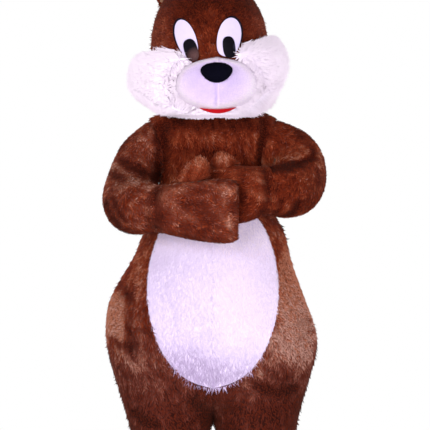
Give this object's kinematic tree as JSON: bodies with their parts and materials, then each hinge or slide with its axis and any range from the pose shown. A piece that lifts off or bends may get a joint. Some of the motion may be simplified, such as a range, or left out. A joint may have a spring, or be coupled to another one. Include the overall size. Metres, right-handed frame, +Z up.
{
  "type": "rabbit mascot costume",
  "caption": "Full-body rabbit mascot costume: plush suit with a padded pear shape, white belly, clasped mitts, feet and a foam head with long ears.",
  "frame": {"origin": "base of the wearer's neck, midway between the shoulders, where the suit hangs from the wearer", "axes": "+Z up, the mascot faces -Y, its left hand is on +X"},
  "size_m": [0.7055, 0.5963, 2.1933],
  "materials": {
    "brown_plush": "short brown plush, brushed in patches",
    "white_belly_plush": "medium white plush",
    "white_long_plush": "long fluffy white plush",
    "white_short_plush": "short white plush over foam",
    "tan_plush": "short tan plush",
    "black_plush": "short black plush",
    "white_felt": "matt felt",
    "black_felt": "matt felt",
    "black_mesh": "fine woven mesh to look out through",
    "red_felt": "matt felt",
    "sole_rubber": "matt foam rubber",
    "zip_tape": "woven tape with coil teeth",
    "zip_metal": "worn plated metal"
  },
  "bodies": {
    "root": {"suit_front_left": "brown_plush", "suit_front_right": "brown_plush", "suit_back_left": "brown_plush", "suit_back_right": "brown_plush", "sleeve_left": "brown_plush", "sleeve_right": "brown_plush", "mitt_left": "brown_plush", "mitt_right": "brown_plush", "thumb_left": "brown_plush", "thumb_right": "brown_plush", "foot_left": "brown_plush", "foot_right": "brown_plush", "head_front": "brown_plush", "head_back": "brown_plush", "ear_left": "brown_plush", "ear_right": "brown_plush", "belly_left": "white_belly_plush", "belly_right": "white_belly_plush", "cheek_left": "white_long_plush", "cheek_right": "white_long_plush", "chin": "white_long_plush", "muzzle_left": "white_short_plush", "muzzle_right": "white_short_plush", "ear_lining_left": "tan_plush", "ear_lining_right": "tan_plush", "nose": "black_plush", "eye_white_left": "white_felt", "eye_white_right": "white_felt", "eye_edge_left": "black_felt", "eye_edge_right": "black_felt", "pupil_left": "black_mesh", "pupil_right": "black_mesh", "mouth": "red_felt", "sole_left": "sole_rubber", "sole_right": "sole_rubber", "zip_tape": "zip_tape", "zip_slider": "zip_metal"},
    "zip_pull": {"zip_pull": "zip_metal"}
  },
  "joints": [
    {"name": "zip_pull_swing", "type": "hinge", "parent": "root", "child": "zip_pull", "pos_m": [0, 0.12179, -0.02625], "axis": [1, 0, 0], "range_deg": [0, 150]}
  ]
}
